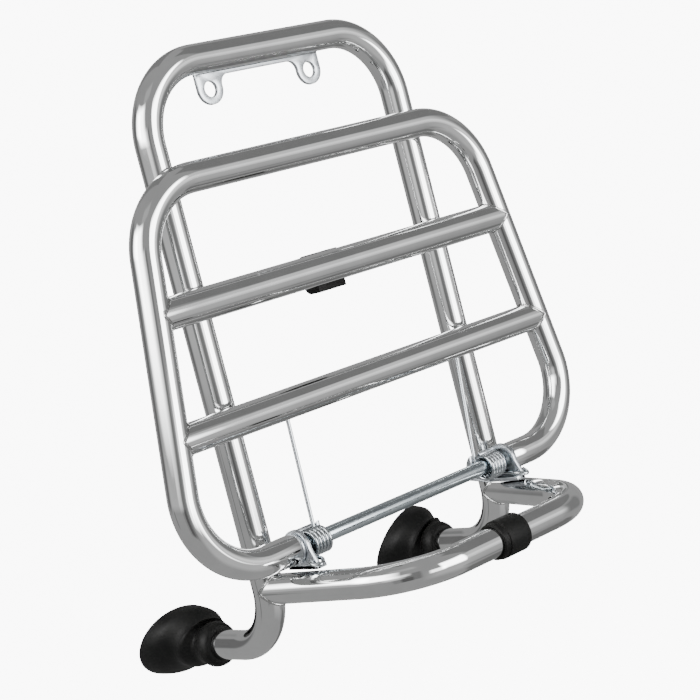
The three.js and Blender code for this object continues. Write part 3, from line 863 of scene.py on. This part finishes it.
def sheet(bm, outer, thickness, matrix, holes=(), ease=CUT_EASE):
    """Adds a blanked sheet to a mesh: an outline and holes in millimetres, given a thickness."""
    part = bmesh.new()
    edges = []
    for loop in (outer, *holes):
        verts = [part.verts.new((x * MM, y * MM, 0)) for x, y in loop]
        edges += [part.edges.new(pair) for pair in zip(verts, verts[1:] + verts[:1])]
    bmesh.ops.triangle_fill(part, use_beauty=True, use_dissolve=False, edges=edges)
    grown = bmesh.ops.extrude_face_region(part, geom=part.faces[:])["geom"]
    verts = [g for g in grown if isinstance(g, bmesh.types.BMVert)]
    bmesh.ops.translate(part, vec=(0, 0, thickness * MM), verts=verts)
    bmesh.ops.recalc_face_normals(part, faces=part.faces)
    rims = [e for e in part.edges if len(e.link_faces) == 2 and e.calc_face_angle(0) > math.radians(60)]
    rolled = {"offset": ease * MM, "segments": 2, "profile": 0.5, "affect": "EDGES"}
    bmesh.ops.bevel(part, geom=rims, clamp_overlap=True, **rolled)
    bmesh.ops.transform(part, matrix=matrix, verts=part.verts)
    holder = bpy.data.meshes.new("part")
    part.to_mesh(holder)
    part.free()
    bm.from_mesh(holder)
    bpy.data.meshes.remove(holder)


print("sheet helpers ready")

# %% [markdown]
# ## The drilled bracket
# A flat strip with two round ears is welded behind the top rail, and two bolts through the ears hold the
# rack to its panel. A plain box with two discs would have hard corners where they join, so the whole
# outline is drawn from arcs, with a fillet beside each ear. A thin bead of weld runs along the top.

# %% Drilled bracket
HOLE_X = 35.75
BOLT_HOLE_R = 4.25
BRACKET_SHEET = 2.5
SEAM_HALF = 43.0
SEAM_BACK = 5.6
SEAM_UP = FRAME_HEIGHT - TUBE_R + 1.2
SEAM_R = 1.3
SEAM_STEPS = 40
EAR_R = 8.3
HOLE_Z = FRAME_HEIGHT - 16.3
FILLET = 5.5
bracket_outer = (
    [(-HOLE_X - EAR_R, BRACKET_STRIP_TOP)]
    + arc(-HOLE_X, HOLE_Z, EAR_R, 180, 360, 28)
    + arc(FILLET - HOLE_X + EAR_R, BRACKET_STRIP_BOTTOM - FILLET, FILLET, 180, 90, 10)
    + arc(HOLE_X - EAR_R - FILLET, BRACKET_STRIP_BOTTOM - FILLET, FILLET, 90, 0, 10)
    + arc(HOLE_X, HOLE_Z, EAR_R, 180, 360, 28)
    + [(HOLE_X + EAR_R, BRACKET_STRIP_TOP)]
)
bracket_holes = [round_hole(x, HOLE_Z, BOLT_HOLE_R, 36) for x in (-HOLE_X, HOLE_X)]
stand_up = Matrix.Translation(at(0, BRACKET_BACK, 0)) @ Matrix.Rotation(math.pi / 2, 4, "X")
bracket_mesh = bmesh.new()
sheet(bracket_mesh, bracket_outer, BRACKET_SHEET, stand_up, bracket_holes, 0.3)
bracket = finish_mesh("drilled_bracket", bracket_mesh, zinc)
compare(bracket, "top_bracket")
place(bracket, "frame", "zinc", "top_bracket")
seam_ends = [at(x, SEAM_BACK, SEAM_UP) for x in (-SEAM_HALF, SEAM_HALF)]
seam_spots = [seam_ends[0].lerp(seam_ends[1], k / SEAM_STEPS) for k in range(SEAM_STEPS + 1)]
seam_route = [(spot, Vector((1, 0, 0))) for spot in seam_spots]
seam_weld = sweep("bracket_weld", seam_route, SEAM_R * MM, bead, 12)
place(seam_weld, "frame", "chrome")

# %% [markdown]
# ## Hinge brackets
# Each hinge bracket is one folded blank: an ear that holds the rod, a shroud curled over the spring, a
# tapered web down its back, a base plate on the hoop, and a small tab with a hole. A flat blank could be
# folded here too, but every fold would have to be worked out. Built up from five short pieces of sheet that
# run into each other, it looks the same and each piece stays simple.

# %% Hinge brackets
ACROSS = Matrix(((0, 0, 1, 0), (1, 0, 0, 0), (0, 1, 0, 0), (0, 0, 0, 1)))
WEB_TOP = -SPRING_DROP - 1
WEB_LAP = 0.2  # how far the web runs up into the shroud
FOLD_R = 3.0  # the bend between the web and the base plate
CORNER = 0.8  # the small chamfer inside that bend
EAR_CORNER_R = 1.0
ROD_HOLE_R = ROD_R + 0.15
TAB_HOLE_R = 1.2
TAB_OUTER = {side: COIL_INNER[side] - WIRE_R - 2 * GAP for side in SIDES}
TAB_INNER = {side: TAB_OUTER[side] - SHEET for side in SIDES}
SKIN = 2.0  # the sheet's thickness where it is curled behind the coil


def slab_matrix(side, low, high):
    """Stands a sheet on edge, from low to high across the rack."""
    start = min(side * low, side * high)
    return Matrix.Translation(at(start, -SETBACK, 0)) @ ACROSS


def hinge_bracket(side):
    """Ear, shroud, tapered web, base plate and tab, drawn about the rod."""
    bm = bmesh.new()
    inner = SHROUD_R - SKIN
    lean = LEG_LEAN[side] / LOWER_BAR_HEIGHT
    shroud_inner = COIL_INNER[side] + WIRE_R + GAP * 3 + max(0, lean) * SHROUD_R
    curl = [(SHROUD_R, WEB_TOP)] + arc(0, -SPRING_DROP, SHROUD_R, 0, SHROUD_WRAP, 14)
    curl += arc(0, -SPRING_DROP, inner, SHROUD_WRAP, 0, 14) + [(inner, WEB_TOP)]
    sheet(bm, curl, EAR_OUTER - shroud_inner, slab_matrix(side, shroud_inner, EAR_OUTER))
    web = [
        (side * TAB_INNER[side], WEB_TOP + WEB_LAP),
        (side * TAB_INNER[side], WEB_TOP - WEB_TIP),
        (side * (EAR_OUTER - BASE_WIDTH), BASE_BOTTOM),
        (side * EAR_OUTER, BASE_BOTTOM),
        (side * EAR_OUTER, WEB_TOP + WEB_LAP),
    ]
    behind = Matrix.Translation(at(0, SHROUD_R - SETBACK, 0)) @ Matrix.Rotation(math.pi / 2, 4, "X")
    sheet(bm, web, SKIN, behind)
    fold = arc(SHROUD_R - FOLD_R, BASE_BOTTOM + FOLD_R, FOLD_R, 0, -90, 6)
    base = [(SHROUD_R, WEB_TOP)] + fold + [(-BASE_REACH, BASE_BOTTOM), (-BASE_REACH, BASE_TOP)]
    base += [(inner - CORNER, BASE_TOP), (inner, BASE_TOP + CORNER), (inner, WEB_TOP)]
    sheet(bm, base, BASE_WIDTH, slab_matrix(side, EAR_OUTER - BASE_WIDTH, EAR_OUTER))
    ear = [(SHROUD_R, BASE_BOTTOM)] + arc(0, -SPRING_DROP, SHROUD_R, 0, 180, 30)
    ear += arc(EAR_CORNER_R - BASE_REACH, COIL_BOTTOM, EAR_CORNER_R, 160, 180, 3)
    ear.append((-BASE_REACH, BASE_BOTTOM))
    hole = [round_hole(0, 0, ROD_HOLE_R, 36)]
    sheet(bm, ear, SHEET, slab_matrix(side, EAR_INNER, EAR_OUTER), hole)
    front = SHROUD_R - TAB_DEPTH
    reach = math.degrees(math.acos(front / SHROUD_R))
    tab = [(front, WEB_TOP - WEB_TIP / 2), (SHROUD_R, WEB_TOP - WEB_TIP / 2)]
    tab += arc(0, -SPRING_DROP, SHROUD_R, 0, reach, 14)
    tab_hole = [round_hole(SHROUD_R - TAB_DEPTH / 2, 0, TAB_HOLE_R, 24)]
    sheet(bm, tab, SHEET, slab_matrix(side, TAB_INNER[side], TAB_OUTER[side]), tab_hole, 0.3)
    return finish_mesh(f"hinge_plate_{SIDES[side]}", bm, zinc)


for side, side_name in SIDES.items():
    plate = hinge_bracket(side)
    compare(plate, f"hinge_bracket_{side_name}")
    place(plate, "frame", "zinc", f"hinge_bracket_{side_name}")

# %% [markdown]
# ## Torsion springs
# Each spring is one length of wire: a tail hooked round the bracket's ear, five close turns round the rod,
# and a long leg up to the lower bar. A screw modifier could wind the coil alone, but not its tail, so the
# tail and coil are swept along one row of places. The coil winds up as the tray folds, but here it rides
# with neither body and keeps its shape. The leg is a piece of its own, because the whole of it turns with
# the tray.

# %% Torsion springs
LEG_TOP = LOWER_BAR_HEIGHT - TUBE_R * 0.4
LEG_BACK = TUBE_R * 0.92 + WIRE_R + GAP


def along_places(places):
    """Stations at the places, each heading from the one before it to the one after it."""
    out = []
    for i, spot in enumerate(places):
        ahead = places[min(i + 1, len(places) - 1)]
        behind = places[max(i - 1, 0)]
        out.append((spot, (ahead - behind).normalized()))
    return out


def tail_places(side):
    """The tail: from outside the ear, round its front edge and in to the bottom of the coil."""
    clear = WIRE_R + 2 * GAP

    def spot(x, y, z):
        return at(side * x, -SETBACK + y, COIL_BOTTOM + z)

    outside = EAR_OUTER + clear + 0.3
    return [
        spot(outside, -SHROUD_R - 0.6, 1.2),
        spot(outside, -BASE_REACH - 0.2, -0.6),
        spot(EAR_INNER + SHEET / 2, -BASE_REACH - clear - 0.8, -0.9),
        spot(EAR_INNER - 3, -BASE_REACH + 1, 0.5),
        spot(COIL_OUTER[side] + 0.6, -4, WIRE_R),
        at(side * COIL_OUTER[side], -SETBACK, -SPRING_DROP - SPRING_R),
    ]


def coil_places(side, per_turn=28):
    """The coil, wound from its outer end towards the middle of the rack."""
    steps = round(SPRING_TURNS * per_turn)
    out = []
    for k in range(1, steps + 1):
        turn = 2 * math.pi * SPRING_TURNS * k / steps
        x = side * (COIL_OUTER[side] - SPRING_PITCH * turn / (2 * math.pi))
        y = -SETBACK + SPRING_R * math.sin(turn)
        z = -SPRING_DROP - SPRING_R * math.cos(turn)
        out.append(at(x, y, z))
    return out


for side, side_name in SIDES.items():
    coil_spots = rounded_way(tail_places(side), 6) + coil_places(side)
    stations = along_places(coil_spots)
    leg_top = in_tray(side * (COIL_INNER[side] + LEG_LEAN[side]), LEG_TOP, LEG_BACK)
    last = coil_spots[-1]
    way = (leg_top - last).normalized()
    stations[-1] = (last, way)
    coil = sweep(f"coil_{side_name}", stations, WIRE_R * MM, spring_steel, 14)
    place(coil, None, "spring_steel", f"spring_{side_name}")
    start = at(side * COIL_OUTER[side], -SETBACK, 0)
    end = at(side * COIL_INNER[side], -SETBACK, 0)
    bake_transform(coil)
    leg = sweep(f"spring_leg_{side_name}", [(last, way), (leg_top, way)], WIRE_R * MM, spring_steel, 14)
    place(leg, "tray", "spring_steel")
print("springs wound")

# %% [markdown]
# ## The tray's buffer
# A small rubber block saddles the upper bar and cushions the tray against the panel. One screw from behind
# holds it. A cube with a big bevel comes close, but it has no saddle for the bar. The block's side view is
# simple, so it is drawn once, given its width like a piece of sheet, and its edges are eased more broadly.

# %% Buffer and screw
BUFFER_X = -5.0
BUFFER_WIDTH = 20.0
BUFFER_HEIGHT = 21.0
BUFFER_REACH = UPPER_BAR_R + 8
BUFFER_DROP = 1.8
BUFFER_CORNER_R = 5.0
BUFFER_EASE = 2.6
SADDLE_R = UPPER_BAR_R + 0.1
SCREW_RECESS = 2.4
half = BUFFER_HEIGHT / 2
low = -half - BUFFER_DROP
high = half - BUFFER_DROP
front = UPPER_BAR_R * 0.6
notch = math.degrees(math.acos(front / SADDLE_R))
bend_x = BUFFER_REACH - BUFFER_CORNER_R
buffer_outline = (
    arc(0, 0, SADDLE_R, -notch, notch, 18)
    + [(front, high)]
    + arc(bend_x, high - BUFFER_CORNER_R, BUFFER_CORNER_R, 90, 0, 8)
    + arc(bend_x, low + BUFFER_CORNER_R, BUFFER_CORNER_R, 0, -90, 8)
    + [(front, low)]
)
back_way = (in_tray(0, 0, 1) - in_tray(0, 0)).normalized()
block_matrix = Matrix((back_way, tray_up, Vector((1, 0, 0)))).transposed().to_4x4()
block_matrix = Matrix.Translation(in_tray(BUFFER_X - BUFFER_WIDTH / 2, UPPER_BAR_HEIGHT)) @ block_matrix
buffer_mesh = bmesh.new()
sheet(buffer_mesh, buffer_outline, BUFFER_WIDTH, block_matrix, (), BUFFER_EASE)
buffer = finish_mesh("buffer", buffer_mesh, rubber)
compare(buffer, "tray_buffer")
place(buffer, "tray", "rubber", "tray_buffer")

SCREW_R = 4.0
screw_back = BUFFER_REACH - SCREW_RECESS - 4.0
screw_profile = [
    (screw_back, 0),
    (screw_back, SCREW_R),
    (BUFFER_REACH + SNUG, SCREW_R),
    (BUFFER_REACH + 0.6, 3.2),
    (BUFFER_REACH + 0.6, 1.9),
    (BUFFER_REACH - 1.0, 1.7),
    (BUFFER_REACH - 1.2, 0),
]
screw_matrix = Matrix.Translation(in_tray(BUFFER_X, UPPER_BAR_HEIGHT)) @ Matrix.Rotation(-LEAN, 4, "X")
screw = turned("screw", eased(screw_profile, 0.25, (0, 6)), zinc, screw_matrix, 36)
place(screw, "tray", "zinc", "buffer_screw")

# %% [markdown]
# ## Floor and backdrop
# A product shot is taken before paper that sweeps up behind the object. Lamps could light a painted wall,
# but a sheet that glows by itself keeps one even tone right across, whatever the lamps do. So there are two
# plain sheets, a disc below and a square behind, square to the camera's view. Both are hidden from
# reflections, because the tent supplies those.

# %% Floor and backdrop
WHITE = 9.0  # shown as almost white; any brighter, and edges against it turn jagged
STAGE_SIZE = 9.0
FLOOR_DROP = 0.75
WALL_DISTANCE = 3.2


def glowing(name):
    graph = Graph(name)
    white = (1, 1, 1, 1)
    graph.surface(Base_Color=white, Roughness=1.0, Emission_Color=white, Emission_Strength=WHITE)
    return graph.material


def stage_mesh(name, bm, material):
    piece = link_mesh(name, bm, material)
    piece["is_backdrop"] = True
    return piece


camera_spot = at(-676.0, -767.4, 176.2)
camera_right = Vector((0.7083, -0.6606, -0.2489))
camera_up = Vector((0.2438, -0.1021, 0.9644))
camera_back = camera_right.cross(camera_up).normalized()
camera_up = camera_back.cross(camera_right).normalized()
turn_to_view = Matrix.Rotation(math.atan2(-camera_back.x, -camera_back.y) * -1, 4, "Z")

floor_mesh = bmesh.new()
bmesh.ops.create_circle(floor_mesh, cap_ends=True, radius=STAGE_SIZE, segments=64)
bmesh.ops.translate(floor_mesh, vec=(0, 0, -FLOOR_DROP), verts=floor_mesh.verts)
floor = stage_mesh("floor", floor_mesh, glowing("pale_floor"))
floor.visible_glossy = False
floor.visible_diffuse = False

wall_mesh = bmesh.new()
bmesh.ops.create_grid(wall_mesh, x_segments=1, y_segments=1, size=STAGE_SIZE)
wall_turn = turn_to_view @ Matrix.Translation((0, WALL_DISTANCE, 0)) @ Matrix.Rotation(math.pi / 2, 4, "X")
bmesh.ops.transform(wall_mesh, matrix=wall_turn, verts=wall_mesh.verts)
wall = stage_mesh("backdrop", wall_mesh, glowing("pale_wall"))
wall.visible_glossy = False
wall.visible_diffuse = False
wall.visible_shadow = False
print("floor and backdrop glow at", WHITE)

# %% [markdown]
# ## The light tent
# Chrome has hardly any look of its own: it shows what stands round it. A studio hangs soft boxes and cards
# inside a tent of cloth, and their mirror images are the long pale and dark streaks on the tubes. A picture
# of a real studio could be wrapped round the scene instead, but then no streak could be moved. So the tent
# is a sphere that only reflections see, grey all over, with soft-edged patches of light and shade, each
# placed by its turn round the tent and by its height.

# %% Light tent
TENT_R = 3.0
TENT_GREY = 0.37
TENT_TOP = 10.0  # each patch's light is given as a share of this
# Each patch of light or shade: its middle, half width and edge by turn from the camera's back (degrees,
# rightwards), the same three by height, and the light it adds.
PATCHES = [
    (-44, 26, 22, 24, 18, 7, 8.0),
    (-12, 14, 8, 10, 7, 5, 1.3),
    (-66, 18, 8, 24, 12, 5, 5.0),
    (-48, 38, 14, -2, 6, 7, 0.25),
    (-16, 12, 6, 0, 8, 8, 0.45),
    (58, 17, 4, 4, 18, 9, 9.0),
    (36, 10, 4, -10, 9, 6, 3.5),
    (74, 20, 14, 4, 16, 5, 0.5),
    (58, 30, 20, -28, 22, 20, 0.25),
    (84, 12, 12, 0, 5, 5, 0.4),
    (4, 12, 4, -8, 24, 5, -0.16),
    (-6, 12, 3, -21, 12, 3, -0.1),
    (-78, 3, 2, -17, 8, 4, -0.2),
    (-106, 13, 6, 12, 22, 8, -0.21),
    (-6, 22, 8, 52, 8, 6, 0.17),
    (118, 34, 4, 42, 20, 3, -0.16),
    (118, 16, 8, -2, 18, 8, -0.14),
    (140, 32, 12, -46, 9, 4, -0.19),
    (88, 12, 6, -40, 3, 2, -0.12),
    (-178, 44, 12, 62, 30, 10, -0.14),
]


def patch(spot, middle, half, edge):
    """One within a zone of a coordinate and nothing outside it, with soft edges."""
    inside = (spot - middle).maths("ABSOLUTE") * (-1 / edge) + (half / edge + 0.5)
    return spot.graph.node("ShaderNodeClamp", inputs=[inside])


def tent_material():
    """Soft boxes, cards and a grey room, in the tent's own coordinates."""
    graph = Graph("tent_cloth")
    place_of = graph.node("ShaderNodeTexCoord", output=3)
    parts = graph.tree.nodes.new("ShaderNodeSeparateXYZ")
    graph.feed(parts.inputs[0], place_of)
    x, y, z = (Value(graph, parts.outputs[i]) for i in range(3))
    height = (z * (1 / TENT_R)).maths("ARCSINE") * (180 / math.pi)
    turn = x.maths("ARCTAN2", y * -1.0) * (180 / math.pi)
    light = None
    for across, half, edge, up, half_up, edge_up, amount in PATCHES:
        zone = patch(turn, across, half, edge) * patch(height, up, half_up, edge_up)
        added = zone * (amount / TENT_TOP)
        light = added + TENT_GREY / TENT_TOP if light is None else light + added
    graph.surface(Base_Color=(0, 0, 0, 1), Roughness=1.0)
    graph.surface(Emission_Color=light, Emission_Strength=TENT_TOP)
    return graph.material


tent_mesh = bmesh.new()
bmesh.ops.create_uvsphere(tent_mesh, u_segments=64, v_segments=32, radius=TENT_R)
bmesh.ops.reverse_faces(tent_mesh, faces=tent_mesh.faces)
tent = stage_mesh("light_tent", tent_mesh, tent_material())
tent.rotation_euler = turn_to_view.to_euler()
tent.visible_camera = False
tent.visible_shadow = False
tent.visible_diffuse = False
print("tent patches:", len(PATCHES))

# %% [markdown]
# ## Lamps and world
# Rubber and zinc aren't mirrors, so they need real light. Bare point lamps would cast hard shadows, so
# three broad discs are hung: a key light, a weaker fill, and one above. Reflections don't show them, so
# they add no spots to the chrome. A faint even glow from the world keeps the hollows from going black.

# %% Lamps and world
LAMP_TARGET = Vector((0, 0, -0.15))
WORLD_GLOW = 0.35
# Each lamp: its place, the width of its disc in metres, and its power in watts.
LAMPS = {
    "key_light": (turn_to_view @ Vector((-1.2, -1.0, 1.3)), 1.2, 22),
    "fill_light": (turn_to_view @ Vector((1.4, -1.2, 0.4)), 1.4, 9),
    "top_light": (Vector((0, 0, 1.8)), 1.6, 14),
}


def soft_light(name, spot, size, power):
    light = bpy.data.lights.new(name, "AREA")
    light.shape = "DISK"
    light.size = size
    light.energy = power
    lamp = bpy.data.objects.new(name, light)
    lamp.location = spot
    lamp.rotation_euler = (LAMP_TARGET - spot).to_track_quat("-Z", "Y").to_euler()
    lamp.visible_glossy = False
    bpy.context.scene.collection.objects.link(lamp)


for lamp_name, (lamp_spot, lamp_size, lamp_power) in LAMPS.items():
    soft_light(lamp_name, lamp_spot, lamp_size, lamp_power)
world = bpy.data.worlds.new("studio")
world.use_nodes = True
world.node_tree.nodes["Background"].inputs["Color"].default_value = (1, 1, 1, 1)
world.node_tree.nodes["Background"].inputs["Strength"].default_value = WORLD_GLOW
bpy.context.scene.world = world
print("lamps:", list(LAMPS))

# %% [markdown]
# ## Camera
# The rack is seen from in front and from the left, through a long lens, which keeps its near side from
# looking too big. A constraint could aim the camera, but a tracked camera always stands upright. This one
# is tipped a little, so its three axes are set directly.

# %% Camera
LENS_MM = 97.17
lens = bpy.data.cameras.new("camera")
lens.lens = LENS_MM
lens.sensor_width = 36.0
lens.clip_end = 30
camera = bpy.data.objects.new("camera", lens)
axes = Matrix((camera_right, camera_up, camera_back)).transposed().to_4x4()
camera.matrix_world = Matrix.Translation(camera_spot) @ axes
bpy.context.scene.collection.objects.link(camera)
bpy.context.scene.camera = camera
print("camera at", [round(c, 4) for c in camera_spot])

# %% [markdown]
# ## Check the sizes and finish
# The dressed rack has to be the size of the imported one. That could be judged by eye in the viewport, but
# numbers are surer, so the two boxes are written side by side.

# %% Check sizes and finish
sizes = {"cad": [list(c) for c in cad_box], "visual": [list(c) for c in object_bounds()]}
for name, box in sizes.items():
    print(name, [[round(c, 4) for c in corner] for corner in box])
